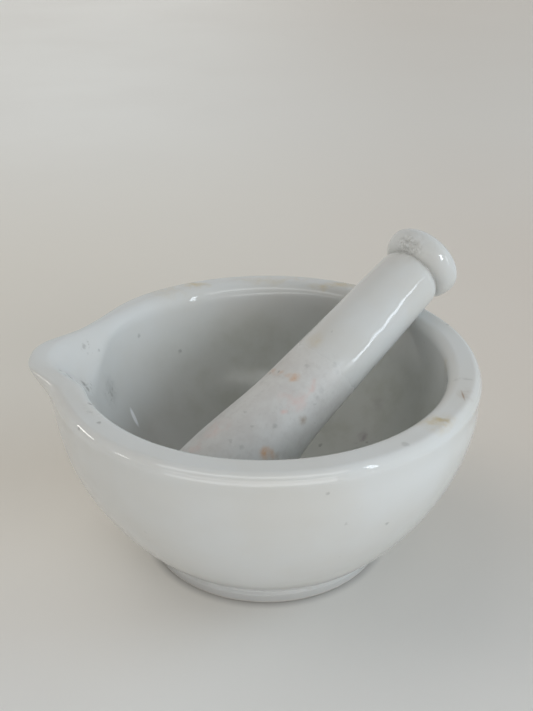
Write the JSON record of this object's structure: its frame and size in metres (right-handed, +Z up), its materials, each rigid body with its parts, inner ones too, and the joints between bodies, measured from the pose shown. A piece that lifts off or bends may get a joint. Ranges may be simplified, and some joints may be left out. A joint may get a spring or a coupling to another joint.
{
  "type": "mortar and pestle",
  "caption": "Glazed porcelain mortar with a flat rim, pouring lip and foot ring, and a knobbed porcelain pestle leaning in the bowl.",
  "frame": {"origin": "on the mortar's own axis, at the level of the surface that the foot ring stands on", "axes": "+Z up along the mortar's axis; the pouring lip points along -X; the pestle's knob points towards +X +Y"},
  "size_m": [0.1054, 0.1, 0.0708],
  "materials": {
    "mortar": "clear glossy glaze over white porcelain, lightly stained",
    "pestle": "glazed grip and knob, unglazed matte grinding end with stains"
  },
  "bodies": {
    "mortar": {"mortar": "mortar"},
    "pestle": {"pestle": "pestle"}
  },
  "joints": [
    {"name": "pestle_lift", "type": "slide", "parent": "mortar", "child": "pestle", "axis": [0, 0, 1], "range_m": [0, 0.07]}
  ]
}
